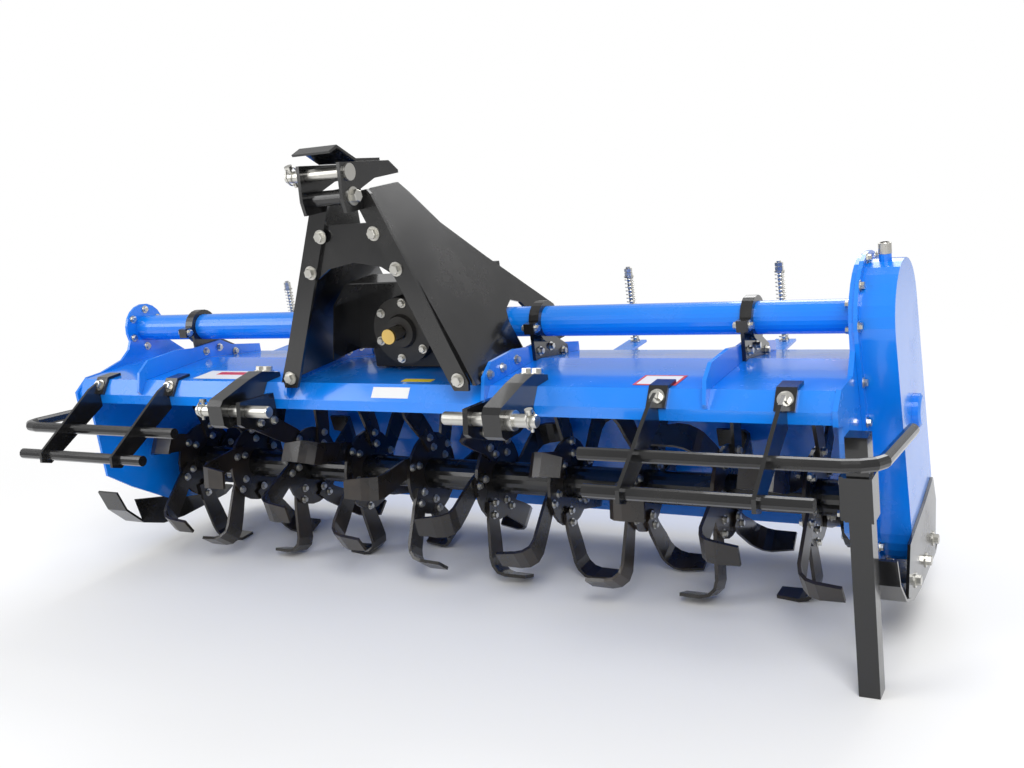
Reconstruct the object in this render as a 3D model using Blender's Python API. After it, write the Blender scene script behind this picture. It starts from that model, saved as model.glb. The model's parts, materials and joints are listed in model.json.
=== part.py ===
"""Rotary tiller for a tractor three-point hitch, 2 m wide, in metres.

+X is the gear-case side, -Y the tractor side, +Z up.  Z = 0 is the ground.
Heights marked (rel) and all y are measured from the axis of the round frame beam; solid() then
moves each piece back by FRAME_Y, so that the origin is the bottom centre of the machine.
"""
import math

import bmesh
import bpy
from mathutils import Matrix, Vector

# ---------------------------------------------------------------- sizes
BEAM_Z = 0.665            # axis of the frame beam above the ground
BEAM_R = 0.0345
GAP = 0.0003              # between touching pieces
FRAME_Y = 0.066           # the beam axis stands this far behind the frame's origin

ROTOR_Y = 0.078
ROTOR_Z = 0.2447
FLANGE_PITCH = 0.201
FLANGE_X0 = -0.945
FLANGE_COUNT = 10
FLANGE_T = 0.008
FLANGE_R = 0.108
TUBE_R = 0.040
TINES = 6
TINE_T = 0.008
PHASE_STEP = 20.0         # degrees of helix from flange to flange

PLATE_T = 0.008
LEFT_X = -1.000           # outer face of the left end plate
RIGHT_X = 1.010           # outer face of the right end plate
CASE_FLANGE_X = 1.0183
CASE_X = 1.083
HOOD_T = 0.004
RIB_X = 0.760
BASE_RIB_X = 0.270
CLAMP_R = 0.047

HINGE_Y = 0.285
HINGE_Z = -0.190          # (rel)
HINGE_R = 0.009
FLAP_X = 0.990
ROD_Y = 0.335
ROD_R = 0.006
ROD_XS = (-0.740, -0.360, 0.360, 0.740)

PTO_Z = 0.017             # (rel)
PTO_R = 0.0175
PIN_Y = -0.376
PIN_Z = -0.113            # (rel)
PIN_R = 0.014
TOP_Y = -0.328
TOP_Z = 0.397             # (rel)
TOP_R = 0.0125

LEG_X = 1.0445
LEG_Y = -0.280
LEG_A = 0.040
LEG_TOP = 0.515
SLEEVE_A = 0.052

# profiles are lists of (y, z rel), walked once round or front to rear
HOOD = [(-0.270, -0.139), (-0.270, -0.1156), (-0.2436, -0.0816), (-0.020, -0.0816),
        (0.200, -0.1210), (0.262, -0.1680)]
FLAP = [(0.286, -0.1935), (0.330, -0.245), (0.352, -0.320), (0.356, -0.430),
        (0.340, -0.560), (0.352, -0.605)]
PLATE_REAR = [(0.131, -0.100), (0.200, -0.108), (0.285, -0.160), (0.318, -0.200), (0.330, -0.300),
              (0.300, -0.420), (0.200, -0.505), (0.078, -0.535), (-0.040, -0.505), (-0.165, -0.420),
              (-0.240, -0.360), (-0.240, -0.150), (-0.276, -0.140), (-0.276, -0.110)]
RIB = [(-0.2692, -0.1140), (-0.2440, -0.0811), (-0.020, -0.0811), (0.190, -0.1188),
       (0.190, -0.096), (0.080, -0.070), (0.040, -0.047), (-0.060, -0.045), (-0.120, -0.034),
       (-0.225, -0.034), (-0.262, -0.058), (-0.276, -0.104)]
MAST = [(-0.2848, -0.070), (-0.2848, 0.3500), (-0.262, 0.3555), (-0.170, 0.3550), (-0.150, 0.330),
        (-0.100, 0.253), (0.000, 0.155), (0.165, 0.005), (0.165, -0.070), (0.052, -0.070),
        (0.050, 0.012), (0.036, 0.038), (0.000, 0.052), (-0.036, 0.038), (-0.050, 0.012),
        (-0.052, -0.070)]
GUSSET = [(-0.046, -0.004), (-0.046, -0.0808), (-0.020, -0.0808), (0.115, -0.1050),
          (0.115, -0.084), (0.060, -0.050), (0.046, -0.004)]
CHEEK = [(-0.352, 0.316), (-0.358, 0.345), (-0.352, 0.420), (-0.180, 0.404), (-0.150, 0.380),
         (-0.150, 0.3735), (-0.240, 0.3735), (-0.2937, 0.3580), (-0.2937, 0.316)]
BRACKET = [(-0.195, -0.0811), (-0.195, -0.070), (-0.255, -0.052), (-0.300, -0.058),
           (-0.398, -0.080), (-0.410, -0.092), (-0.410, -0.138), (-0.398, -0.148),
           (-0.340, -0.150), (-0.2714, -0.138), (-0.2714, -0.1155), (-0.2448, -0.0811)]
INNER_PLATE = [(-0.285, -0.095), (-0.398, -0.085), (-0.408, -0.136), (-0.396, -0.146),
               (-0.340, -0.170), (-0.285, -0.170)]
SKID = [(-0.220, -0.420), (-0.200, -0.480), (-0.150, -0.535), (-0.080, -0.565), (0.000, -0.575),
        (0.180, -0.575), (0.215, -0.562)]
SKID_WEB_L = [(-0.160, -0.460), (-0.148, -0.532), (-0.078, -0.562), (0.000, -0.572),
              (0.175, -0.572), (0.175, -0.520), (0.078, -0.495), (-0.060, -0.490)]
SKID_WEB_R = [(-0.090, -0.440), (-0.130, -0.535), (-0.078, -0.562), (0.000, -0.572),
              (0.175, -0.572), (0.205, -0.460), (0.180, -0.400), (0.078, -0.420)]
ARM = [(-0.262, -0.080), (-0.300, -0.092), (-0.485, -0.203), (-0.488, -0.228), (-0.462, -0.238),
       (-0.435, -0.226), (-0.2716, -0.146), (-0.2716, -0.116)]
FOOT = [(-0.205, -0.0811), (-0.2446, -0.0811), (-0.2714, -0.1158), (-0.2770, -0.1115),
        (-0.2478, -0.0741), (-0.205, -0.0741)]

# one tine, from the flange out: radius, axial, tangential, width, normal radial, normal axial
TINE = [(0.062, 0.000, -0.034, 0.046, 0.0, 1.0),
        (0.110, 0.000, -0.028, 0.050, 0.0, 1.0),
        (0.160, 0.000, -0.014, 0.056, 0.0, 1.0),
        (0.2006, 0.000, -0.004, 0.058, 0.0, 1.0),
        (0.2206, 0.0054, 0.000, 0.058, -0.5, 0.866),
        (0.2352, 0.0200, 0.000, 0.058, -0.866, 0.5),
        (0.2406, 0.0400, 0.000, 0.056, -1.0, 0.0),
        (0.2406, 0.0920, 0.004, 0.046, -1.0, 0.0)]


# ---------------------------------------------------------------- helpers
def collection(name):
    """A collection under the scene, made once."""
    found = bpy.data.collections.get(name)
    if found is None:
        found = bpy.data.collections.new(name)
        bpy.context.scene.collection.children.link(found)
    return found


def material(name, colour, rough, metal):
    """A Principled BSDF material, made once."""
    found = bpy.data.materials.get(name)
    if found is None:
        found = bpy.data.materials.new(name)
        found.use_nodes = True
        shader = found.node_tree.nodes["Principled BSDF"]
        shader.inputs["Base Color"].default_value = (*colour, 1.0)
        shader.inputs["Roughness"].default_value = rough
        shader.inputs["Metallic"].default_value = metal
    return found


BLUE = ("blue_paint", (0.005, 0.22, 0.80), 0.25, 0.0)
BLACK = ("black_paint", (0.012, 0.012, 0.013), 0.25, 0.0)
STEEL = ("zinc_steel", (0.60, 0.60, 0.58), 0.35, 1.0)


def solid(name, verts, faces, origin, look):
    """A closed mesh object; verts are in the shared frame, origin is its pivot."""
    mesh = bpy.data.meshes.new(name)
    pivot = Vector(origin)
    build = bmesh.new()
    made = [build.verts.new(Vector(v) - pivot) for v in verts]
    for face in faces:
        build.faces.new([made[i] for i in face])
    bmesh.ops.recalc_face_normals(build, faces=build.faces)
    build.to_mesh(mesh)
    build.free()
    body = bpy.data.objects.new(name, mesh)
    body.location = pivot + Vector((0.0, FRAME_Y, 0.0))
    if look is None:
        collection("cutters").objects.link(body)
        body.hide_render = True
        body.display_type = "WIRE"
    else:
        collection("rotary_tiller").objects.link(body)
        mesh.materials.append(material(*look))
    return body


def prism(name, outline, axis, low, high, look, origin=(0, 0, 0)):
    """An outline extruded along an axis; for X the outline is (y, z), for Y (x, z), for Z (x, y)."""
    place = {"X": lambda d, a, b: (d, a, b), "Y": lambda d, a, b: (a, d, b),
             "Z": lambda d, a, b: (a, b, d)}[axis]
    count = len(outline)
    verts = [place(low, *p) for p in outline] + [place(high, *p) for p in outline]
    faces = [list(range(count))[::-1], [i + count for i in range(count)]]
    for i in range(count):
        j = (i + 1) % count
        faces.append([i, j, j + count, i + count])
    return solid(name, verts, faces, origin, look)


def box(name, x, y, z, look, origin=(0, 0, 0)):
    """A box from three (low, high) pairs."""
    return prism(name, [(y[0], z[0]), (y[1], z[0]), (y[1], z[1]), (y[0], z[1])], "X", x[0], x[1],
                 look, origin)


def circle(a, b, radius, count, start=0.0, sweep=360.0):
    """Points on a circle or arc round (a, b)."""
    steps = count if sweep == 360.0 else count - 1
    angles = [math.radians(start + sweep * i / steps) for i in range(count)]
    return [(a + radius * math.cos(t), b + radius * math.sin(t)) for t in angles]


def turned(name, axis, centre, table, look, origin=(0, 0, 0), count=24):
    """A turned solid: table rows are (place along the axis, radius)."""
    place = {"X": lambda d, a, b: (d, a, b), "Y": lambda d, a, b: (a, d, b),
             "Z": lambda d, a, b: (a, b, d)}[axis]
    verts = []
    for along, radius in table:
        verts += [place(along, *p) for p in circle(centre[0], centre[1], radius, count)]
    faces = [list(range(count)), [(len(table) - 1) * count + i for i in range(count)]]
    for k in range(len(table) - 1):
        for i in range(count):
            j = (i + 1) % count
            faces.append([k * count + i, k * count + j, (k + 1) * count + j, (k + 1) * count + i])
    return solid(name, verts, faces, origin, look)


def swept(name, path, radius, look, count=12):
    """A round bar along a path of points."""
    points = [Vector(p) for p in path]
    side = Vector((0, 0, 1))
    verts = []
    for k, point in enumerate(points):
        before = points[max(k - 1, 0)]
        after = points[min(k + 1, len(points) - 1)]
        ahead = (after - before).normalized()
        side = (side - ahead * side.dot(ahead)).normalized()
        other = ahead.cross(side)
        for i in range(count):
            t = 2 * math.pi * i / count
            verts.append(point + radius * (math.cos(t) * side + math.sin(t) * other))
    faces = [list(range(count)), [(len(points) - 1) * count + i for i in range(count)]]
    for k in range(len(points) - 1):
        for i in range(count):
            j = (i + 1) % count
            faces.append([k * count + i, k * count + j, (k + 1) * count + j, (k + 1) * count + i])
    return solid(name, verts, faces, (0, 0, 0), look)


def thick(path, thickness):
    """The closed outline of a sheet: the path and its offset to the right of the walk."""
    normals = []
    for p, q in zip(path, path[1:]):
        length = math.hypot(q[0] - p[0], q[1] - p[1])
        normals.append(((q[1] - p[1]) / length, -(q[0] - p[0]) / length))
    inner = []
    for k, p in enumerate(path):
        a = normals[max(k - 1, 0)]
        b = normals[min(k, len(normals) - 1)]
        scale = thickness / (1.0 + a[0] * b[0] + a[1] * b[1])
        inner.append((p[0] + (a[0] + b[0]) * scale, p[1] + (a[1] + b[1]) * scale))
    return list(path) + inner[::-1]


def up(outline):
    """Heights from the beam axis made heights from the ground."""
    return [(y, z + BEAM_Z) for y, z in outline]


def boolean(body, other, operation):
    """An exact Boolean with another solid, which is kept as a cutter."""
    step = body.modifiers.new(operation.lower(), "BOOLEAN")
    step.operation = operation
    step.solver = "EXACT"
    step.object = other
    return body


def join(body, *others):
    """Weld solids into one body."""
    for other in others:
        boolean(body, other, "UNION")
    return body


def drill(body, *others):
    """Cut solids out of a body."""
    for other in others:
        boolean(body, other, "DIFFERENCE")
    return body


def oblong(top, bottom, grow=0.0):
    """The outline round two circles (y, z rel, radius), as a convex hull."""
    points = circle(top[0], top[1], top[2] + grow, 32) + circle(bottom[0], bottom[1],
                                                                bottom[2] + grow, 32)
    points = sorted(set((round(a, 6), round(b, 6)) for a, b in points))
    hull = []
    for order in (points, points[::-1]):
        chain = []
        for p in order:
            while len(chain) > 1 and turn(chain[-2], chain[-1], p) <= 1e-9:
                chain.pop()
            chain.append(p)
        hull += chain[:-1]
    return hull


def turn(a, b, c):
    """Twice the signed area of three points."""
    return (b[0] - a[0]) * (c[1] - a[1]) - (b[1] - a[1]) * (c[0] - a[0])


# ---------------------------------------------------------------- hood, end plates and frame
def hood():
    """The folded hood with four slotted tabs for the spring rods."""
    body = prism("hood", up(thick(HOOD, HOOD_T)), "X", LEFT_X + PLATE_T + GAP,
                 RIGHT_X - 0.010 - GAP, BLUE)
    for k, x in enumerate(ROD_XS):
        tab = [(x - 0.024, 0.219), (x + 0.024, 0.219), (x + 0.024, 0.350), (x + 0.010, 0.350),
               (x + 0.010, 0.322), (x - 0.010, 0.322), (x - 0.010, 0.350), (x - 0.024, 0.350)]
        join(body, prism("tab_%d" % k, tab, "Z", BEAM_Z - 0.140, BEAM_Z - 0.134, None))
    return body


def side_plates():
    """The left end plate with its round head and bearing hub, and the gear-case side plate."""
    left = [(-0.233, -0.080), (-0.182, -0.080), (-0.106, -0.066), (-0.076, -0.046)]
    left += circle(0.0, 0.0, 0.068, 13, 200.0, -220.0) + [(0.078, -0.055)]
    body = prism("side_plate_left", up(left + PLATE_REAR), "X", LEFT_X, LEFT_X + PLATE_T, BLUE)
    join(body, turned("hub_left", "X", (ROTOR_Y, ROTOR_Z), [(-1.016, 0.040), (-1.012, 0.052),
                                                          (-0.985, 0.052), (-0.975, 0.040)], None))
    right = [(-0.240, -0.080), (-0.150, -0.080), (-0.122, -0.040)]
    right += circle(0.0, 0.0, 0.122, 17, 185.0, -190.0) + [(0.130, -0.060)]
    other = prism("side_plate_right", up(right + PLATE_REAR), "X", RIGHT_X - 0.010, RIGHT_X, BLUE)
    join(other, turned("hub_right", "X", (ROTOR_Y, ROTOR_Z), [(0.962, 0.060), (1.005, 0.066)],
                       None))
    return body, other


def gear_case():
    """The side gear case: bolting flange, deep body and the idler hub."""
    upper = (0.0, 0.0, 0.112)
    lower = (ROTOR_Y, ROTOR_Z - BEAM_Z, 0.120)
    body = prism("gear_case", up(oblong(upper, lower, 0.016)), "X", RIGHT_X + GAP, CASE_FLANGE_X,
                 BLUE)
    join(body, prism("case_body", up(oblong(upper, lower)), "X", CASE_FLANGE_X - 0.002, CASE_X,
                     None))
    join(body, turned("case_hub", "X", (0.040, BEAM_Z - 0.205),
                      [(CASE_X - 0.002, 0.034), (CASE_X + 0.012, 0.034), (CASE_X + 0.016, 0.028)],
                      None))
    join(body, turned("case_filler", "Z", (1.050, -0.010),
                      [(BEAM_Z + 0.100, 0.012), (BEAM_Z + 0.140, 0.012), (BEAM_Z + 0.146, 0.008)],
                      None, count=12))
    return body


def beams():
    """The two halves of the round frame beam, flanged at the gearbox and at the plates."""
    left = turned("beam_left", "X", (0.0, BEAM_Z),
                  [(LEFT_X + PLATE_T + GAP, BEAM_R), (-0.150, BEAM_R), (-0.150, 0.058),
                   (-0.1403, 0.058)], BLUE)
    right = turned("beam_right", "X", (0.0, BEAM_Z),
                   [(0.1403, 0.058), (0.150, 0.058), (0.150, BEAM_R), (0.985, BEAM_R),
                    (0.985, 0.062), (RIGHT_X - 0.010 - GAP, 0.062)], BLUE)
    return left, right


def ribs():
    """Four ribs standing on the hood, each with its collar clamped round the beam."""
    made = []
    for tag, x, way in (("left", -RIB_X, -1), ("base_left", -BASE_RIB_X, -1),
                        ("base_right", BASE_RIB_X, 1), ("right", RIB_X, 1)):
        made.append(prism("rib_" + tag, up(RIB), "X", x - 0.004, x + 0.004, BLUE))
        low, high = sorted((x + way * (0.004 + GAP), x + way * (0.012 + GAP)))
        ring_low, ring_high = sorted((x + way * 0.0048, x + way * 0.0298))
        clamp = prism("clamp_" + tag, up(GUSSET), "X", low, high, BLACK)
        join(clamp, turned("ring_" + tag, "X", (0.0, BEAM_Z),
                           [(ring_low, CLAMP_R), (ring_high, CLAMP_R)], None))
        join(clamp, box("lug_" + tag, (ring_low, ring_high), (-0.072, -0.040),
                        (BEAM_Z - 0.014, BEAM_Z + 0.010), None))
        drill(clamp, turned("bore_" + tag, "X", (0.0, BEAM_Z),
                            [(x - 0.05, BEAM_R + GAP), (x + 0.05, BEAM_R + GAP)], None))
        made.append(clamp)
    return made


# ---------------------------------------------------------------- gearbox and drive
def gearbox():
    """The heavy bevel gearbox on the beam, with the input bearing flange."""
    body = box("gearbox", (-0.110, 0.110), (-0.120, 0.140), (BEAM_Z - 0.075, BEAM_Z + 0.120),
               BLACK)
    join(body, turned("box_trunnion", "X", (0.0, BEAM_Z), [(-0.140, 0.058), (0.140, 0.058)],
                      None))
    join(body, turned("box_nose", "Y", (0.0, BEAM_Z + PTO_Z),
                      [(-0.160, 0.036), (-0.150, 0.040), (-0.150, 0.078), (-0.115, 0.078)],
                      None, count=28))
    drill(body, turned("box_bore", "Y", (0.0, BEAM_Z + PTO_Z),
                       [(-0.200, PTO_R + 0.0005), (-0.104, PTO_R + 0.0005)], None, count=16))
    return body


def pto_shaft():
    """The splined input stub, which turns."""
    axis = (0.0, -0.200, BEAM_Z + PTO_Z)
    return turned("pto_shaft", "Y", (0.0, BEAM_Z + PTO_Z),
                  [(-0.206, PTO_R - 0.002), (-0.204, PTO_R), (-0.105, PTO_R)], STEEL, axis, 16)


def pto_shield():
    """The bent sheet guard round the input stub."""
    path = [(-0.152, -0.030), (-0.124, 0.096), (-0.080, 0.146), (0.080, 0.146), (0.124, 0.096),
            (0.152, -0.030)]
    body = prism("pto_shield", up(thick(path, 0.003)), "Y", -0.225, -0.1203, BLACK)
    join(body, prism("shield_back", up(path), "Y", -0.1243, -0.1203, None))
    drill(body, turned("shield_hole", "Y", (0.0, BEAM_Z + PTO_Z), [(-0.15, 0.0784), (-0.10, 0.0784)],
                       None, count=28))
    return body


# ---------------------------------------------------------------- mast and hitch
def mast_x(z):
    """The inner face of a slanting mast plate at a height (rel)."""
    return 0.060 + 0.470 * (0.350 - z)


def mast_plates():
    """The two slanting side plates of the mast, arched over the beam."""
    made = []
    for tag, way in (("left", -1), ("right", 1)):
        count = len(MAST)
        verts = [(way * mast_x(z), y, z + BEAM_Z) for y, z in MAST]
        verts += [(way * (mast_x(z) + 0.0085), y, z + BEAM_Z) for y, z in MAST]
        faces = [list(range(count))[::-1], [i + count for i in range(count)]]
        for i in range(count):
            j = (i + 1) % count
            faces.append([i, j, j + count, i + count])
        made.append(solid("mast_plate_" + tag, verts, faces, (0, 0, 0), BLACK))
    return made


def mast_straps():
    """The two flat straps up the front of the mast, with bent feet on the lip."""
    made = []
    for tag, way in (("left", -1), ("right", 1)):
        strap = [(0.028, 0.352), (0.070, 0.356), (0.078, 0.346), (0.252, -0.060), (0.250, -0.0800),
                 (0.214, -0.0800), (0.204, -0.060)]
        face = [(way * x, z + BEAM_Z) for x, z in strap]
        made.append(prism("mast_strap_" + tag, face, "Y", -0.2932, -0.2852, BLACK))
    return made


def cross_plate():
    """The arched plate bolted behind the two straps."""
    edge = [(-0.066, 0.285), (0.066, 0.285), (0.118, 0.172), (0.106, 0.168), (0.070, 0.190),
            (0.0, 0.202), (-0.070, 0.190), (-0.106, 0.168), (-0.118, 0.172)]
    return prism("mast_cross_plate", up(edge), "Y", -0.2849, -0.2769, BLACK)


def top_hitch():
    """The two cheeks of the upper hitch point with their pin, roller and bent catch."""
    made = []
    bore = [(-0.2, TOP_R + GAP), (0.2, TOP_R + GAP)]
    for tag, low in (("left", -0.057), ("right", 0.049)):
        cheek = prism("top_cheek_" + tag, up(CHEEK), "X", low, low + 0.008, BLACK)
        drill(cheek, turned("cheek_bore_" + tag, "X", (TOP_Y, TOP_Z + BEAM_Z), bore, None))
        made.append(cheek)
    made.append(turned("top_link_pin", "X", (TOP_Y, TOP_Z + BEAM_Z),
                       [(-0.104, TOP_R - 0.002), (-0.102, TOP_R), (0.0573, TOP_R), (0.0573, 0.018),
                        (0.063, 0.018)], STEEL))
    made.append(turned("top_roller", "X", (-0.325, 0.347 + BEAM_Z),
                       [(-0.0487, 0.016), (0.0487, 0.016)], BLACK))
    catch = [(-0.200, 0.4065), (-0.285, 0.4145), (-0.340, 0.448), (-0.366, 0.440), (-0.369, 0.4445),
             (-0.340, 0.4545), (-0.283, 0.4205), (-0.200, 0.4125)]
    made.append(prism("top_catch", up(catch), "X", -0.0487, 0.0487, BLACK))
    return made


def lower_hitch():
    """The two lower hitch brackets and their stepped pins."""
    made = []
    for tag, way in (("left", -1), ("right", 1)):
        low, high = sorted((way * 0.347, way * 0.389))
        body = prism("hitch_bracket_" + tag, up(BRACKET), "X", low, high, BLACK)
        low, high = sorted((way * 0.297, way * 0.309))
        join(body, prism("inner_" + tag, up(INNER_PLATE), "X", low, high, None))
        low, high = sorted((way * 0.299, way * 0.360))
        join(body, box("tie_" + tag, (low, high), (-0.330, -0.288), (BEAM_Z - 0.146, BEAM_Z - 0.110),
                       None))
        drill(body, turned("pin_bore_" + tag, "X", (PIN_Y, BEAM_Z + PIN_Z),
                           [(-0.5, PIN_R + GAP), (0.5, PIN_R + GAP)], None))
        made.append(body)
        table = [(0.235, PIN_R - 0.002), (0.238, PIN_R), (0.3893, PIN_R), (0.3893, 0.021),
                 (0.404, 0.021), (0.404, PIN_R), (0.450, PIN_R), (0.453, PIN_R - 0.002)]
        table = [(way * x, r) for x, r in table]
        made.append(turned("lower_pin_" + tag, "X", (PIN_Y, BEAM_Z + PIN_Z), table, STEEL))
    return made


# ---------------------------------------------------------------- guards, stand and skids
def guards():
    """The front guard rails: two tubes on two flat arms hooked over the lip, each side."""
    made = []
    upper = [(0.540, -0.385, -0.172), (1.040, -0.385, -0.172), (1.068, -0.380, -0.172),
             (1.090, -0.364, -0.174), (1.100, -0.340, -0.177), (1.100, -0.080, -0.206)]
    for tag, way in (("left", -1), ("right", 1)):
        path = [(way * x, y, z + BEAM_Z) for x, y, z in upper]
        body = swept("guard_" + tag, path, 0.013, BLACK)
        path = [(way * 0.580, -0.461, BEAM_Z - 0.2165), (way * 1.010, -0.461, BEAM_Z - 0.2165)]
        join(body, swept("low_rail_" + tag, path, 0.013, None))
        for k, x in enumerate((0.660, 0.913)):
            low, high = sorted((way * (x - 0.004), way * (x + 0.004)))
            join(body, prism("arm_%s_%d" % (tag, k), up(ARM), "X", low, high, None))
            low, high = sorted((way * (x - 0.020), way * (x + 0.020)))
            join(body, prism("foot_%s_%d" % (tag, k), up(FOOT), "X", low, high, None))
        made.append(body)
    return made


def square(half):
    """A square outline round the leg."""
    return [(LEG_X - half, LEG_Y - half), (LEG_X + half, LEG_Y - half),
            (LEG_X + half, LEG_Y + half), (LEG_X - half, LEG_Y + half)]


def stand():
    """The parking stand: a sleeve on the gear-case side plate and its sliding leg."""
    sleeve = prism("stand_sleeve", square(SLEEVE_A / 2), "Z", BEAM_Z - 0.310, BEAM_Z - 0.225,
                   BLACK)
    join(sleeve, box("sleeve_plate", (RIGHT_X + GAP, LEG_X - 0.022), (-0.300, -0.150),
                     (BEAM_Z - 0.310, BEAM_Z - 0.225), None))
    drill(sleeve, prism("sleeve_bore", square(LEG_A / 2 + GAP), "Z", 0.2, 0.6, None))
    leg = prism("stand_leg", square(LEG_A / 2), "Z", 0.0, LEG_TOP, BLACK,
                (LEG_X, LEG_Y, LEG_TOP))
    return sleeve, leg


def skids():
    """The two side skids: a runner turned up at the front and a web to bolt it on."""
    made = []
    for tag, web, low, high, run_low, run_high in (
            ("left", SKID_WEB_L, -1.0063, -1.0003, -1.075, -1.0003),
            ("right", SKID_WEB_R, 1.0833, 1.0893, 1.014, 1.0893)):
        body = prism("skid_" + tag, up(thick(SKID[::-1], 0.006)), "X", run_low, run_high, BLACK)
        join(body, prism("web_" + tag, up(web), "X", low, high, None))
        made.append(body)
    return made


# ---------------------------------------------------------------- rotor
def rotor_tube():
    """The rotor tube with its drive flange; its origin is on the rotor axis."""
    return turned("rotor_tube", "X", (ROTOR_Y, ROTOR_Z),
                  [(-0.9745, TUBE_R), (0.938, TUBE_R), (0.938, 0.104), (0.9545, 0.104),
                   (0.9545, 0.050), (0.9615, 0.050)], BLACK, (0, ROTOR_Y, ROTOR_Z))


def tine(name, x, face, way, angle):
    """One L-shaped tine bolted on a flange face, at an angle from straight down."""
    spin = Matrix.Rotation(math.radians(angle), 3, "X")
    verts = []
    for radius, axial, along, width, n_r, n_x in TINE:
        for side_t, side_n in ((-1, -1), (1, -1), (1, 1), (-1, 1)):
            t = along + side_t * width / 2
            r = radius + side_n * n_r * TINE_T / 2
            a = face + axial + side_n * n_x * TINE_T / 2
            local = spin @ Vector((0.0, t, -r))
            verts.append((x + way * a, ROTOR_Y + local.y, ROTOR_Z + local.z))
    rows = len(TINE)
    faces = [[0, 1, 2, 3], [4 * rows - 4 + i for i in range(4)]]
    for k in range(rows - 1):
        for i in range(4):
            j = (i + 1) % 4
            faces.append([4 * k + i, 4 * k + j, 4 * k + 4 + j, 4 * k + 4 + i])
    return solid(name, verts, faces, (0, 0, 0), None)


def tine_flanges():
    """Ten flanges on the rotor tube, each with six bolted tines, three to each side."""
    made = []
    for i in range(FLANGE_COUNT):
        x = FLANGE_X0 + FLANGE_PITCH * i
        name = "tine_flange_%d" % (i + 1)
        body = turned(name, "X", (ROTOR_Y, ROTOR_Z), [(x - FLANGE_T / 2, FLANGE_R),
                                                      (x + FLANGE_T / 2, FLANGE_R)], BLACK,
                      (x, ROTOR_Y, ROTOR_Z), 24)
        for k in range(TINES):
            way = 1 if k % 2 == 0 or i == 0 else -1
            angle = 60.0 * k + PHASE_STEP * i
            join(body, tine("tine_%d_%d" % (i, k), x, FLANGE_T - 0.0004, way, angle))
        drill(body, turned("tube_bore_%d" % i, "X", (ROTOR_Y, ROTOR_Z),
                           [(x - 0.03, TUBE_R + GAP), (x + 0.03, TUBE_R + GAP)], None))
        made.append(body)
    return made


# ---------------------------------------------------------------- rear flap
def rear_flap():
    """The trailing board on its hinge tube, with four lugs for the spring rods."""
    axis = (0.0, HINGE_Y, BEAM_Z + HINGE_Z)
    body = prism("rear_flap", up(thick(FLAP, 0.004)), "X", -FLAP_X, FLAP_X, BLUE, axis)
    join(body, turned("hinge_tube", "X", (HINGE_Y, BEAM_Z + HINGE_Z),
                      [(LEFT_X + PLATE_T + 0.0005, HINGE_R), (RIGHT_X - 0.0105, HINGE_R)], None,
                      count=16))
    for k, x in enumerate(ROD_XS):
        lug = [(0.300, -0.216), (0.326, -0.188), (0.343, -0.190), (0.347, -0.204), (0.336, -0.262)]
        join(body, prism("lug_%d" % k, up(lug), "X", x + ROD_R + 0.0005, x + ROD_R + 0.0065,
                         None))
    return body


def spring_rods():
    """Four rods with compression springs that press the trailing board down."""
    made = []
    for k, x in enumerate(ROD_XS):
        made.append(turned("spring_rod_%d" % (k + 1), "Z", (x, ROD_Y),
                           [(BEAM_Z - 0.205, ROD_R), (BEAM_Z - 0.1335, ROD_R),
                            (BEAM_Z - 0.1335, 0.0125), (BEAM_Z + 0.030, 0.0125),
                            (BEAM_Z + 0.030, 0.010), (BEAM_Z + 0.048, 0.010),
                            (BEAM_Z + 0.048, ROD_R), (BEAM_Z + 0.056, ROD_R)], STEEL,
                           (x, ROD_Y, BEAM_Z - 0.195), 12))
    return made


def main():
    """Clear the scene and build every piece."""
    for old in list(bpy.data.objects):
        bpy.data.objects.remove(old, do_unlink=True)
    hood()
    side_plates()
    gear_case()
    beams()
    ribs()
    gearbox()
    pto_shaft()
    pto_shield()
    mast_plates()
    mast_straps()
    cross_plate()
    top_hitch()
    lower_hitch()
    guards()
    stand()
    skids()
    rotor_tube()
    tine_flanges()
    rear_flap()
    spring_rods()


main()
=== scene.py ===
"""Looks of the rotary tiller: finishes, fasteners, springs, clips and blank labels."""

import json
import math

import bmesh
import bpy
from mathutils import Matrix, Vector


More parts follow.
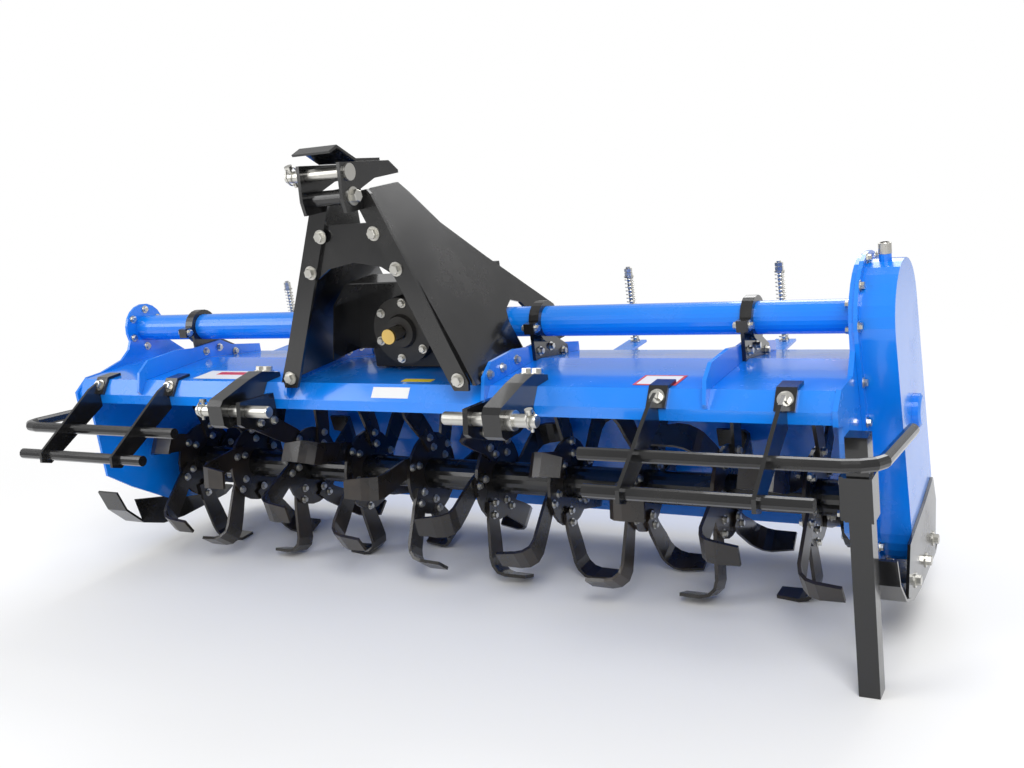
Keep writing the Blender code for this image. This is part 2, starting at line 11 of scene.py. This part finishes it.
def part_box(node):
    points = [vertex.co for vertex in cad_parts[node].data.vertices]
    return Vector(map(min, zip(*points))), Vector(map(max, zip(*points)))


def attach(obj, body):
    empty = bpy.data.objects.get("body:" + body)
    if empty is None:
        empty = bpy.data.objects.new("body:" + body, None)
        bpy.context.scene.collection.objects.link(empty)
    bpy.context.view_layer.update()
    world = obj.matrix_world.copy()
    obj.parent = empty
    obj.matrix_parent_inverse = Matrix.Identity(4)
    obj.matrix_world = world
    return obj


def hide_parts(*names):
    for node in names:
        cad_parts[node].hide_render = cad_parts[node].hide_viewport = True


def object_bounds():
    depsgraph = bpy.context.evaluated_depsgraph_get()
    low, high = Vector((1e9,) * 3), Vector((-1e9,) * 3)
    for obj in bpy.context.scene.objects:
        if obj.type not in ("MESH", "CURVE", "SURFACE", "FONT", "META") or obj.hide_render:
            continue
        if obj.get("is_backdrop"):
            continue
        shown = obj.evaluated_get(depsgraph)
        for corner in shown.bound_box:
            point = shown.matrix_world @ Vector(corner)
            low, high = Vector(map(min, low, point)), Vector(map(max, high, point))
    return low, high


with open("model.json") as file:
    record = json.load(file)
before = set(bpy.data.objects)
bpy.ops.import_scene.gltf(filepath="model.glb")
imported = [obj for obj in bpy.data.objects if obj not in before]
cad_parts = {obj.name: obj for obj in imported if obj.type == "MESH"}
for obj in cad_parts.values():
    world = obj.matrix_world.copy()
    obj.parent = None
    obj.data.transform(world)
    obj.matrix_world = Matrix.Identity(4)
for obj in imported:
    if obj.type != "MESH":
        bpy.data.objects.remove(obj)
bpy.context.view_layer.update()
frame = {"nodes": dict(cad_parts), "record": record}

# ------------------------------------------------------------------ hood, beam, end plates
# The pressed hood, the round beam, the end plates, the gear case and the trailing board are
# steel, sprayed with gloss blue enamel. It has a slight orange peel, thin dust and dulled patches.
def skin_group():
    """Colour, roughness and relief of a weathered metal skin, from Object coordinates."""
    group = bpy.data.node_groups.new("metal_skin", "ShaderNodeTree")
    face = group.interface
    for name, kind in (("Colour", "NodeSocketColor"), ("Dust", "NodeSocketColor"),
                       ("Dust Amount", "NodeSocketFloat"), ("Roughness", "NodeSocketFloat"),
                       ("Grain Scale", "NodeSocketFloat")):
        face.new_socket(name=name, in_out="INPUT", socket_type=kind)
    for name, kind in (("Colour", "NodeSocketColor"), ("Roughness", "NodeSocketFloat"),
                       ("Height", "NodeSocketFloat")):
        face.new_socket(name=name, in_out="OUTPUT", socket_type=kind)
    nodes, links = group.nodes, group.links
    entry = nodes.new("NodeGroupInput")
    leave = nodes.new("NodeGroupOutput")
    place = nodes.new("ShaderNodeTexCoord")
    cloud = nodes.new("ShaderNodeTexNoise")
    cloud.inputs["Scale"].default_value = 7.0
    cloud.inputs["Detail"].default_value = 6.0
    speck = nodes.new("ShaderNodeTexNoise")
    speck.inputs["Scale"].default_value = 55.0
    speck.inputs["Detail"].default_value = 4.0
    grain = nodes.new("ShaderNodeTexNoise")
    grain.inputs["Detail"].default_value = 2.0
    for noise in (cloud, speck, grain):
        links.new(place.outputs["Object"], noise.inputs["Vector"])
    links.new(entry.outputs["Grain Scale"], grain.inputs["Scale"])
    patch = nodes.new("ShaderNodeMapRange")
    patch.inputs["From Min"].default_value = 0.45
    patch.inputs["From Max"].default_value = 0.75
    links.new(cloud.outputs["Fac"], patch.inputs["Value"])
    broken = nodes.new("ShaderNodeMath")
    broken.operation = "MULTIPLY"
    links.new(patch.outputs["Result"], broken.inputs[0])
    links.new(speck.outputs["Fac"], broken.inputs[1])
    dust_and_reflection_amount = nodes.new("ShaderNodeMath")
    dust_and_reflection_amount.operation = "MULTIPLY"
    links.new(broken.outputs["Value"], dust_and_reflection_amount.inputs[0])
    links.new(entry.outputs["Dust Amount"], dust_and_reflection_amount.inputs[1])
    # The dust colour is laid in through the patchy mask. On most finishes it is real dust; on the
    # tines it is partly a painted reflection of brown ground.
    mix = nodes.new("ShaderNodeMix")
    mix.data_type = "RGBA"
    links.new(dust_and_reflection_amount.outputs["Value"], mix.inputs["Factor"])
    links.new(entry.outputs["Colour"], mix.inputs[6])
    links.new(entry.outputs["Dust"], mix.inputs[7])
    dull = nodes.new("ShaderNodeMath")
    dull.operation = "MULTIPLY_ADD"
    dull.inputs[1].default_value = 0.25
    links.new(broken.outputs["Value"], dull.inputs[0])
    links.new(entry.outputs["Roughness"], dull.inputs[2])
    links.new(mix.outputs[2], leave.inputs["Colour"])
    links.new(dull.outputs["Value"], leave.inputs["Roughness"])
    links.new(grain.outputs["Fac"], leave.inputs["Height"])
    return group


METAL_SKIN = skin_group()


def finish(name, colour, rough, metallic=0.0, coat=0.0, dust_and_reflection=(0.30, 0.26, 0.20), dust_and_reflection_amount=0.15,
           grain=260.0, relief=0.04):
    """A material from the shared skin; its constants sit on the shader's own sockets."""
    look = bpy.data.materials.new(name)
    look.use_nodes = True
    nodes, links = look.node_tree.nodes, look.node_tree.links
    shader = nodes["Principled BSDF"]
    shader.inputs["Metallic"].default_value = metallic
    shader.inputs["Coat Weight"].default_value = coat
    shader.inputs["Coat Roughness"].default_value = 0.06
    skin = nodes.new("ShaderNodeGroup")
    skin.node_tree = METAL_SKIN
    skin.inputs["Colour"].default_value = (*colour, 1.0)
    skin.inputs["Dust"].default_value = (*dust_and_reflection, 1.0)
    skin.inputs["Dust Amount"].default_value = dust_and_reflection_amount
    skin.inputs["Roughness"].default_value = rough
    skin.inputs["Grain Scale"].default_value = grain
    bump = nodes.new("ShaderNodeBump")
    bump.inputs["Strength"].default_value = relief
    bump.inputs["Distance"].default_value = 0.001
    links.new(skin.outputs["Colour"], shader.inputs["Base Color"])
    links.new(skin.outputs["Roughness"], shader.inputs["Roughness"])
    links.new(skin.outputs["Height"], bump.inputs["Height"])
    links.new(bump.outputs["Normal"], shader.inputs["Normal"])
    return look


def coat_slot(slot_name, look):
    """Gives a finish to every solid of one material slot."""
    for part in frame["record"]["subparts"]:
        if part["material_slot"] == slot_name:
            solid = frame["nodes"][part["node"]].data
            solid.materials.clear()
            solid.materials.append(look)


BLUE = finish("blue_enamel", (0.001, 0.205, 0.80), 0.22, coat=0.5, dust_and_reflection_amount=0.10)
coat_slot("blue_paint", BLUE)

# ------------------------------------------------------------------ mast, hitch, guards, stand
# The mast plates, hitch brackets, collars, guards, skids and the parking stand are cut plate,
# bar and square tube, welded up and sprayed with gloss black enamel.
BLACK = finish("black_enamel", (0.006, 0.006, 0.0065), 0.20, coat=0.4, dust_and_reflection_amount=0.10,
               dust_and_reflection=(0.10, 0.09, 0.075))
coat_slot("black_paint", BLACK)

# ------------------------------------------------------------------ gearbox
# The gearbox is an iron casting, painted black over its sand-cast skin, so it is dull and
# coarse beside the sheet metal. It stands on the beam between the mast plates.
CASTING = finish("black_casting", (0.012, 0.012, 0.012), 0.45, grain=120.0, relief=0.35)
coat_slot("black_casting", CASTING)

# ------------------------------------------------------------------ rotor
# The tines are forged spring steel, dipped in black lacquer with their flanges. Where soil has
# rubbed them the lacquer turns brownish; the brownish patches are partly soil dust and partly a
# painted reflection of brown ground, standing in for the blades' sheen.
TINE = finish("tine_steel", (0.013, 0.011, 0.010), 0.27, coat=0.2, dust_and_reflection_amount=0.55,
              dust_and_reflection=(0.10, 0.065, 0.04), grain=90.0, relief=0.12)
coat_slot("tine_steel", TINE)

# ------------------------------------------------------------------ hitch pins
# The hitch pins and the rods are turned bar with zinc plate, a little mottled. The input stub
# is bare machined steel with a film of old grease and rust.
ZINC = finish("zinc_plate", (0.60, 0.59, 0.55), 0.28, metallic=1.0, dust_and_reflection_amount=0.4,
              dust_and_reflection=(0.34, 0.31, 0.25))
BARE = finish("bare_steel", (0.46, 0.44, 0.40), 0.30, metallic=1.0, dust_and_reflection_amount=0.5,
              dust_and_reflection=(0.22, 0.14, 0.07))
coat_slot("zinc_steel", ZINC)
coat_slot("bare_steel", BARE)

# ------------------------------------------------------------------ bolts of the ribs and clamps
# Zinc plated hexagon bolts with flat washers hold almost every joint of the machine. Each rib on
# the hood is bolted through the gusset of the collar that grips the round beam, and the two ribs
# at the mast carry a further row of bolts.
beam_low, beam_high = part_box("beam_left")
BEAM_Y = (beam_low[1] + beam_high[1]) / 2
BEAM_Z = (beam_low[2] + beam_high[2]) / 2


def at(x, y, z):
    """A place measured from the beam axis."""
    return Vector((x, BEAM_Y + y, BEAM_Z + z))


def pick_none():
    """Clears the selection, which operators act on."""
    bpy.ops.object.select_all(action="DESELECT")


def hex_bolt(flats):
    """One bolt head on its washer, standing on z = 0; flats is the width across the flats."""
    pick_none()
    bpy.ops.mesh.primitive_cylinder_add(vertices=20, radius=flats * 0.82, depth=flats * 0.12,
                                        location=(0, 0, flats * 0.06))
    washer = bpy.context.object
    bpy.ops.mesh.primitive_cylinder_add(vertices=6, radius=flats * 0.577, depth=flats * 0.5,
                                        location=(0, 0, flats * 0.37))
    head = bpy.context.object
    bpy.ops.object.mode_set(mode="EDIT")
    bpy.ops.mesh.select_all(action="DESELECT")
    build = bmesh.from_edit_mesh(head.data)
    for face in build.faces:
        face.select = face.normal.z > 0.9
    bmesh.update_edit_mesh(head.data)
    bpy.ops.mesh.inset(thickness=flats * 0.06, depth=flats * 0.045)
    bpy.ops.object.mode_set(mode="OBJECT")
    head.select_set(True)
    washer.select_set(True)
    bpy.context.view_layer.objects.active = head
    bpy.ops.object.join()
    bpy.ops.object.transform_apply(location=True, rotation=True, scale=True)
    return head


def copies(name, model, places, look, body):
    """Joined copies of a model at a table of (place, direction, turn) rows."""
    build = bmesh.new()
    for place, way, turn in places:
        mesh = model.data.copy()
        aim = Vector(way).to_track_quat("Z", "Y").to_matrix().to_4x4()
        mesh.transform(Matrix.Translation(place) @ aim @ Matrix.Rotation(turn, 4, "Z"))
        build.from_mesh(mesh)
        bpy.data.meshes.remove(mesh)
    mesh = bpy.data.meshes.new(name)
    build.to_mesh(mesh)
    build.free()
    piece = bpy.data.objects.new(name, mesh)
    bpy.context.scene.collection.objects.link(piece)
    mesh.materials.append(look)
    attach(piece, body)
    return piece


small_bolt = hex_bolt(0.013)
FRONT, RIGHT, LEFT = (0, -1, 0), (1, 0, 0), (-1, 0, 0)
GUSSET_T = 0.0084
rib_rows = []
for node in ("rib_left", "rib_base_left", "rib_base_right", "rib_right"):
    low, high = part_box(node)
    outer = "base" not in node
    gusset_right = node.endswith("right")
    for y, z in ((-0.022, -0.064), (0.030, -0.066), (0.088, -0.092)):
        rib_rows.append((at(high[0] + (GUSSET_T if gusset_right else 0), y, z), RIGHT, y * 9))
        rib_rows.append((at(low[0] - (0 if gusset_right else GUSSET_T), y, z), LEFT, y * 7))
    for y in (() if outer else (-0.240, -0.185, -0.120)):
        rib_rows.append((at(high[0], y, -0.058), RIGHT, y * 9))
        rib_rows.append((at(low[0], y, -0.058), LEFT, y * 9))
copies("rib_bolts", small_bolt, rib_rows, ZINC, "frame")

clamp_rows = []
for node in ("clamp_left", "clamp_base_left", "clamp_base_right", "clamp_right"):
    low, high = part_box(node)
    clamp_rows.append((at(high[0], -0.060, -0.002), RIGHT, 0.3))
    clamp_rows.append((at(low[0], -0.060, -0.002), LEFT, 0.1))
copies("clamp_bolts", small_bolt, clamp_rows, ZINC, "frame")

# ------------------------------------------------------------------ bolts of the mast and hitch
# The straps are bolted to the arched plate and the lip, the roller between the cheeks on one
# long bolt, and each lower bracket by two bolts on the hood and two through its inner plate.
medium_bolt = hex_bolt(0.019)
STRAP_FACE_Y = -0.2932
mast_rows = []
for side in (-1, 1):
    for x, z in ((0.0710, 0.263), (0.1145, 0.1855), (0.228, -0.056)):
        mast_rows.append((at(side * x, STRAP_FACE_Y, z), FRONT, x * 20))
copies("strap_bolts", medium_bolt, mast_rows, ZINC, "frame")

large_bolt = hex_bolt(0.024)
_, cheek_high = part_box("top_cheek_right")
roller_rows = [(at(cheek_high[0], -0.325, 0.347), RIGHT, 0.2),
               (at(-cheek_high[0], -0.325, 0.347), LEFT, 0.4)]
copies("roller_bolt", large_bolt, roller_rows, ZINC, "frame")
bpy.data.objects.remove(large_bolt, do_unlink=True)

HOOD_NORMAL = (0, 0.287, 0.958)
INNER_PLATE_T = 0.012
inner_low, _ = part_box("hitch_bracket_right")
bracket_rows = []
plate_rows = []
for side in (-1, 1):
    for x in (0.356, 0.380):
        bracket_rows.append((at(side * x, -0.226, -0.0604), HOOD_NORMAL, x))
    for y, z in ((-0.300, -0.158), (-0.345, -0.150)):
        plate_rows.append((at(side * inner_low[0], y, z), (-side, 0, 0), y * 8))
        plate_rows.append((at(side * (inner_low[0] + INNER_PLATE_T), y, z), (side, 0, 0), y * 5))
copies("bracket_bolts", medium_bolt, bracket_rows, ZINC, "frame")
copies("bracket_plate_bolts", small_bolt, plate_rows, ZINC, "frame")

# ------------------------------------------------------------------ bolts of the guards and skids
# Each guard arm ends in a strap foot, bolted through the sloping face behind the lip. The skids
# are bolted through their webs, the right one to the gear case and the left one to the end plate.
FOOT_NORMAL = (0, -0.788, 0.615)
foot_rows = []
for side in (-1, 1):
    for x in (0.660, 0.913):
        foot_rows.append((at(side * x, -0.2626, -0.0930), FOOT_NORMAL, x * 3))
copies("guard_bolts", medium_bolt, foot_rows, ZINC, "frame")

SKID_LEFT_X = -1.0063
_, skid_right_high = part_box("skid_right")
skid_rows = []
for y, z in ((-0.060, -0.530), (0.060, -0.540), (0.150, -0.530)):
    skid_rows.append((at(SKID_LEFT_X, y, z), LEFT, y * 6))
    skid_rows.append((at(skid_right_high[0], y, z), RIGHT, y * 6))
copies("skid_bolts", medium_bolt, skid_rows, ZINC, "frame")
bpy.data.objects.remove(medium_bolt, do_unlink=True)

# ------------------------------------------------------------------ bolts of the end plates
# The beam stands on a ring of bolts at each end plate. The bearing nose of the gearbox has its
# own ring of bolts round the input stub.
BEAM_RING_R, RIGHT_RING_R, NOSE_RING_R = 0.052, 0.050, 0.066
ring_rows = []
for k in range(6):
    turn = math.radians(60 * k + 20)
    y, z = math.cos(turn), math.sin(turn)
    ring_rows.append((at(-0.992, BEAM_RING_R * y, BEAM_RING_R * z), RIGHT, turn))
    ring_rows.append((at(-1.000, BEAM_RING_R * y, BEAM_RING_R * z), LEFT, turn))
    ring_rows.append((at(0.985, RIGHT_RING_R * y, RIGHT_RING_R * z), LEFT, turn))
    ring_rows.append((at(NOSE_RING_R * y, -0.150, 0.017 + NOSE_RING_R * z), FRONT, turn))
copies("ring_bolts", small_bolt, ring_rows, ZINC, "frame")

# ------------------------------------------------------------------ gear case trim
# The deep pressed case is bolted on through its rim all round, and a vented filler plug stands
# on top. The rim's line runs round the beam axis, down its sides and round the rotor axis.
tube_low, tube_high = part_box("rotor_tube")
ROTOR_Y = (tube_low[1] + tube_high[1]) / 2
ROTOR_Z = (tube_low[2] + tube_high[2]) / 2
UPPER_R, LOWER_R, RIM, RIM_X = 0.112, 0.120, 0.0082, 1.0183
case_rows = []
upper = Vector((0.0, 0.0))
lower = Vector((ROTOR_Y - BEAM_Y, ROTOR_Z - BEAM_Z))
along = (lower - upper).normalized()
across = Vector((along.y, -along.x))
for centre, radius, out in ((upper, UPPER_R + RIM, -along), (lower, LOWER_R + RIM, along)):
    start = math.atan2(out.y, out.x)
    for k in range(5):
        turn = start + math.radians(-76 + 38 * k)
        place = centre + radius * Vector((math.cos(turn), math.sin(turn)))
        case_rows.append((at(RIM_X, place.x, place.y), RIGHT, turn))
for side in (-1, 1):
    for k in range(1, 5):
        share = k / 5
        middle = upper.lerp(lower, share)
        radius = UPPER_R + (LOWER_R - UPPER_R) * share + RIM
        place = middle + side * across * radius
        case_rows.append((at(RIM_X, place.x, place.y), RIGHT, share))
copies("case_bolts", small_bolt, case_rows, ZINC, "frame")


def settle(piece, name, look, body):
    """Names a modelled piece, puts its place in its mesh, paints it and hands it to a body."""
    pick_none()
    piece.select_set(True)
    bpy.context.view_layer.objects.active = piece
    bpy.ops.object.transform_apply(location=True, rotation=True, scale=True)
    piece.name = name
    piece.data.materials.clear()
    piece.data.materials.append(look)
    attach(piece, body)
    return piece


pick_none()
bpy.ops.mesh.primitive_cylinder_add(vertices=24, radius=0.0125, depth=0.020,
                                    location=at(1.050, -0.010, 0.1345))
vent = bpy.context.object
bpy.ops.object.mode_set(mode="EDIT")
build = bmesh.from_edit_mesh(vent.data)
for face in build.faces:
    face.select = face.normal.z > 0.9
bmesh.update_edit_mesh(vent.data)
bpy.ops.mesh.inset(thickness=0.003, depth=0.0)
bpy.ops.mesh.inset(thickness=0.001, depth=0.0015)
bpy.ops.object.mode_set(mode="OBJECT")
settle(vent, "vent_plug", ZINC, "frame")

# ------------------------------------------------------------------ rotor bolts
# Every tine is held to its flange by two bolts, with the head on the tine and the nut behind the
# flange. The rotor tube ends in a drive flange with a ring of eight bolts.
PHASE_STEP = 20.0
FLANGE_HALF = 0.004
TINE_FACE = 0.0116
TINE_SET_BACK = -0.030
DRIVE_FLANGE_X, DRIVE_RING_R = 0.938, 0.086
tine_rows = []
for i in range(10):
    low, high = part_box("tine_flange_%d" % (i + 1))
    middle = (low[0] + high[0]) / 2 if i else low[0] + FLANGE_HALF
    for k in range(6):
        way = 1 if k % 2 == 0 or i == 0 else -1
        for offset in (0.063, 0.094):
            turn = math.radians(60 * k + PHASE_STEP * i)
            y = TINE_SET_BACK * math.cos(turn) + offset * math.sin(turn)
            z = TINE_SET_BACK * math.sin(turn) - offset * math.cos(turn)
            spot = (ROTOR_Y + y, ROTOR_Z + z)
            tine_rows.append((Vector((middle + way * TINE_FACE, *spot)), (way, 0, 0), turn))
            tine_rows.append((Vector((middle - way * FLANGE_HALF, *spot)), (-way, 0, 0), turn))
for k in range(8):
    turn = math.radians(45 * k)
    spot = (ROTOR_Y + DRIVE_RING_R * math.cos(turn), ROTOR_Z + DRIVE_RING_R * math.sin(turn))
    tine_rows.append((Vector((DRIVE_FLANGE_X, *spot)), LEFT, turn))
copies("tine_bolts", small_bolt, tine_rows, ZINC, "rotor")
bpy.data.objects.remove(small_bolt, do_unlink=True)

# ------------------------------------------------------------------ spring rods
# Each rod is zinc plated round bar with a compression spring held under a collar and two nuts.
# It presses the trailing board down, and slides up through the hood's slotted tab.
ROD_LOW, SPRING_LOW, SPRING_HIGH, ROD_HIGH = -0.205, -0.1315, 0.030, 0.056
ROD_R, COLLAR_R, NUT_R, WIRE_R, COIL_R, COILS = 0.0055, 0.0122, 0.0098, 0.0017, 0.0102, 17
for number in range(1, 5):
    low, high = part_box("spring_rod_%d" % number)
    x, y = (low[0] + high[0]) / 2, (low[1] + high[1]) / 2 - BEAM_Y
    pick_none()
    bpy.ops.mesh.primitive_cylinder_add(vertices=16, radius=ROD_R, depth=ROD_HIGH - ROD_LOW,
                                        location=at(x, y, (ROD_HIGH + ROD_LOW) / 2))
    rod = bpy.context.object
    parts = [rod]
    for middle, radius, depth, sides in ((SPRING_HIGH + 0.0015, COLLAR_R, 0.003, 24),
                                         (SPRING_LOW - 0.0005, COLLAR_R, 0.002, 24),
                                         (SPRING_HIGH + 0.008, NUT_R, 0.009, 6),
                                         (SPRING_HIGH + 0.018, NUT_R, 0.008, 6)):
        bpy.ops.mesh.primitive_cylinder_add(vertices=sides, radius=radius, depth=depth,
                                            location=at(x, y, middle))
        parts.append(bpy.context.object)
    bpy.ops.mesh.primitive_circle_add(vertices=8, radius=WIRE_R, location=(COIL_R, 0, 0),
                                      rotation=(math.pi / 2, 0, 0))
    coil = bpy.context.object
    bpy.ops.object.transform_apply(location=True, rotation=True, scale=True)
    screw = coil.modifiers.new("coils", "SCREW")
    screw.steps = screw.render_steps = 14
    screw.iterations = COILS
    screw.screw_offset = (SPRING_HIGH - SPRING_LOW - 0.004) / COILS
    bpy.ops.object.modifier_apply(modifier="coils")
    bpy.ops.object.mode_set(mode="EDIT")
    bpy.ops.mesh.select_all(action="DESELECT")
    bpy.ops.mesh.select_mode(type="EDGE")
    bpy.ops.mesh.select_non_manifold()
    bpy.ops.mesh.fill_holes(sides=0)
    bpy.ops.mesh.select_all(action="SELECT")
    bpy.ops.mesh.normals_make_consistent(inside=False)
    bpy.ops.mesh.select_mode(type="VERT")
    bpy.ops.object.mode_set(mode="OBJECT")
    coil.location = at(x, y, SPRING_LOW + 0.002)
    parts.append(coil)
    pick_none()
    for part in parts:
        part.select_set(True)
    bpy.context.view_layer.objects.active = rod
    bpy.ops.object.join()
    settle(rod, "sprung_rod_%d" % number, ZINC, "rod_%d" % number)
    bpy.ops.object.shade_smooth_by_angle(angle=math.radians(40))
    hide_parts("spring_rod_%d" % number)

# ------------------------------------------------------------------ linchpins
# A linchpin is a short zinc pin with a sprung wire ring that snaps over the end of the hitch pin.
# One is in the top pin and one in each lower pin.
def linchpin(name, place, swing):
    """A pin down through a shaft at a place, with its ring swung round the shaft's axis."""
    pick_none()
    bpy.ops.mesh.primitive_cylinder_add(vertices=16, radius=0.0042, depth=0.046)
    pin = bpy.context.object
    bpy.ops.mesh.primitive_cylinder_add(vertices=16, radius=0.0085, depth=0.008,
                                        location=(0, 0, 0.022))
    head = bpy.context.object
    bpy.ops.mesh.primitive_torus_add(major_segments=36, minor_segments=8, major_radius=0.0195,
                                     minor_radius=0.0016, location=(0, 0, 0.003),
                                     rotation=(0, math.pi / 2, 0))
    ring = bpy.context.object
    ring.scale = (1.0, 1.0, 1.15)
    for part in (pin, head, ring):
        part.select_set(True)
    bpy.context.view_layer.objects.active = pin
    bpy.ops.object.join()
    bpy.ops.object.transform_apply(location=True, rotation=True, scale=True)
    pin.rotation_euler = (swing, 0, 0)
    pin.location = place
    settle(pin, name, ZINC, "frame")
    bpy.ops.object.shade_smooth_by_angle(angle=math.radians(40))


linchpin("linchpin_top", at(-0.090, -0.328, 0.397), math.radians(20))
linchpin("linchpin_left", at(-0.438, -0.376, -0.113), math.radians(-12))
linchpin("linchpin_right", at(0.438, -0.376, -0.113), math.radians(8))

# ------------------------------------------------------------------ input stub
# The input stub is six-splined bare steel, with the grooves cut along its core. A gold
# passivated cap is pushed on its end.
BRASS = finish("gold_passivate", (0.72, 0.50, 0.16), 0.30, metallic=1.0, dust_and_reflection_amount=0.3)
STUB_PLACE = at(0, -0.181, 0.017)
GROOVE_DEPTH = 0.0022
pick_none()
bpy.ops.mesh.primitive_cylinder_add(vertices=48, radius=0.0172, depth=0.046,
                                    location=STUB_PLACE, rotation=(math.pi / 2, 0, 0))
stub = bpy.context.object
bpy.ops.object.transform_apply(location=True, rotation=True, scale=True)
bpy.ops.object.mode_set(mode="EDIT")
build = bmesh.from_edit_mesh(stub.data)
for face in build.faces:
    middle = face.calc_center_median() - STUB_PLACE
    angle = math.degrees(math.atan2(middle.z, middle.x)) % 60
    face.select = abs(face.normal.y) < 0.5 and 16 < angle < 44
bmesh.update_edit_mesh(stub.data)
bpy.ops.mesh.extrude_region_shrink_fatten(TRANSFORM_OT_shrink_fatten={"value": -GROOVE_DEPTH})
bpy.ops.object.mode_set(mode="OBJECT")
settle(stub, "splined_stub", BARE, "input_shaft")
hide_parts("pto_shaft")
bpy.ops.mesh.primitive_cylinder_add(vertices=32, radius=0.0174, depth=0.006,
                                    location=at(0, -0.2028, 0.017), rotation=(math.pi / 2, 0, 0))
cap = bpy.context.object
settle(cap, "stub_cap", BRASS, "input_shaft")

# ------------------------------------------------------------------ blank labels
# Plastic labels stuck on the hood, in plain colours with no print: one white with a red band, one
# white with a red border, one yellow and one small white.
LABEL_WHITE = finish("white_label", (0.72, 0.73, 0.74), 0.35, dust_and_reflection_amount=0.05, relief=0.01)
LABEL_RED = finish("red_label", (0.55, 0.02, 0.02), 0.35, dust_and_reflection_amount=0.05, relief=0.01)
LABEL_YELLOW = finish("yellow_label", (0.80, 0.60, 0.02), 0.35, dust_and_reflection_amount=0.05, relief=0.01)


def label(name, x, y, z, width, depth, tilt, look, lift=0.0003):
    """A thin label lying on the hood, tilted about X to follow the sheet."""
    pick_none()
    bpy.ops.mesh.primitive_cube_add(size=1.0, location=at(x, y, z + lift),
                                    rotation=(tilt, 0, 0))
    piece = bpy.context.object
    piece.scale = (width, depth, 0.0004)
    settle(piece, name, look, "frame")


HOOD_TOP = -0.0812
label("label_left", -0.500, -0.190, HOOD_TOP, 0.220, 0.070, 0.0, LABEL_WHITE)
label("label_left_band", -0.500, -0.178, HOOD_TOP, 0.130, 0.022, 0.0, LABEL_RED, 0.0006)
label("label_right", 0.640, -0.190, HOOD_TOP, 0.092, 0.070, 0.0, LABEL_RED)
label("label_right_field", 0.640, -0.190, HOOD_TOP, 0.080, 0.058, 0.0, LABEL_WHITE, 0.0006)
label("label_yellow", 0.070, -0.215, HOOD_TOP, 0.080, 0.020, 0.0, LABEL_YELLOW)
SLOPE = math.atan2(0.0340, 0.0264)
label("label_small", 0.020, -0.2570, -0.0985, 0.100, 0.026, SLOPE, LABEL_WHITE)

# ------------------------------------------------------------------ studio, lights and camera
# A pale floor that fades to a white surround, one large soft lamp high in front, a fill and a
# back lamp. The camera stands ahead of the gear-case end at chest height and looks a little down.
for lamp_name, place, size, power in (("key", (2.6, -3.2, 4.4), 2.6, 190.0),
                                      ("fill", (-3.6, -3.0, 2.8), 3.0, 90.0),
                                      ("back", (0.5, 3.6, 3.6), 3.0, 110.0)):
    bpy.ops.object.light_add(type="AREA", location=place)
    lamp = bpy.context.object
    lamp.name = lamp_name
    lamp.data.size = size
    lamp.data.energy = power
    aim = Vector((0.0, 0.0, 0.5)) - Vector(place)
    lamp.rotation_euler = aim.to_track_quat("-Z", "Y").to_euler()

world = bpy.data.worlds.new("studio")
bpy.context.scene.world = world
world.use_nodes = True
air = world.node_tree
sky = air.nodes["Background"]
sky.inputs["Color"].default_value = (1.0, 1.0, 1.0, 1.0)
sky_ray = air.nodes.new("ShaderNodeLightPath")
seen = air.nodes.new("ShaderNodeMath")
seen.operation = "MAXIMUM"
air.links.new(sky_ray.outputs["Is Camera Ray"], seen.inputs[0])
air.links.new(sky_ray.outputs["Is Transmission Ray"], seen.inputs[1])
level = air.nodes.new("ShaderNodeMapRange")
level.inputs["To Min"].default_value = 0.55
level.inputs["To Max"].default_value = 1.0
air.links.new(seen.outputs["Value"], level.inputs["Value"])
air.links.new(level.outputs["Result"], sky.inputs["Strength"])

bpy.ops.mesh.primitive_circle_add(vertices=64, radius=14.0, fill_type="NGON",
                                  location=(0, 0, -0.0005))
floor = bpy.context.object
floor.name = "floor"
floor_look = bpy.data.materials.new("floor_look")
floor_look.use_nodes = True
tree = floor_look.node_tree
ground = tree.nodes["Principled BSDF"]
ground.inputs["Base Color"].default_value = (0.86, 0.86, 0.86, 1.0)
ground.inputs["Roughness"].default_value = 0.9
glow = tree.nodes.new("ShaderNodeEmission")
floor_place = tree.nodes.new("ShaderNodeTexCoord")
reach = tree.nodes.new("ShaderNodeVectorMath")
reach.operation = "LENGTH"
tree.links.new(floor_place.outputs["Object"], reach.inputs[0])
fade = tree.nodes.new("ShaderNodeMapRange")
fade.interpolation_type = "SMOOTHSTEP"
fade.inputs["From Min"].default_value = 1.2
fade.inputs["From Max"].default_value = 2.9
tree.links.new(reach.outputs["Value"], fade.inputs["Value"])
ray = tree.nodes.new("ShaderNodeLightPath")
both = tree.nodes.new("ShaderNodeMath")
both.operation = "MULTIPLY"
tree.links.new(fade.outputs["Result"], both.inputs[0])
tree.links.new(ray.outputs["Is Camera Ray"], both.inputs[1])
blend = tree.nodes.new("ShaderNodeMixShader")
tree.links.new(both.outputs["Value"], blend.inputs["Fac"])
tree.links.new(ground.outputs["BSDF"], blend.inputs[1])
tree.links.new(glow.outputs["Emission"], blend.inputs[2])
tree.links.new(blend.outputs["Shader"], tree.nodes["Material Output"].inputs["Surface"])
floor.data.materials.append(floor_look)
floor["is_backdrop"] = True

CAMERA_RIGHT = Vector((0.8686, 0.4785, -0.1285))
CAMERA_DOWN = Vector((0.0131, -0.2815, -0.9595))
CAMERA_AHEAD = Vector((-0.4953, 0.8318, -0.2508))
bpy.ops.object.camera_add()
camera = bpy.context.object
camera_turn = Matrix((CAMERA_RIGHT, -CAMERA_DOWN, -CAMERA_AHEAD)).transposed().to_4x4()
camera.matrix_world = Matrix.Translation(at(1.5026, -2.2162, 0.5172)) @ camera_turn
camera.data.lens = 39.7
bpy.context.scene.camera = camera
bpy.context.scene.view_settings.view_transform = "Standard"

low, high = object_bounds()
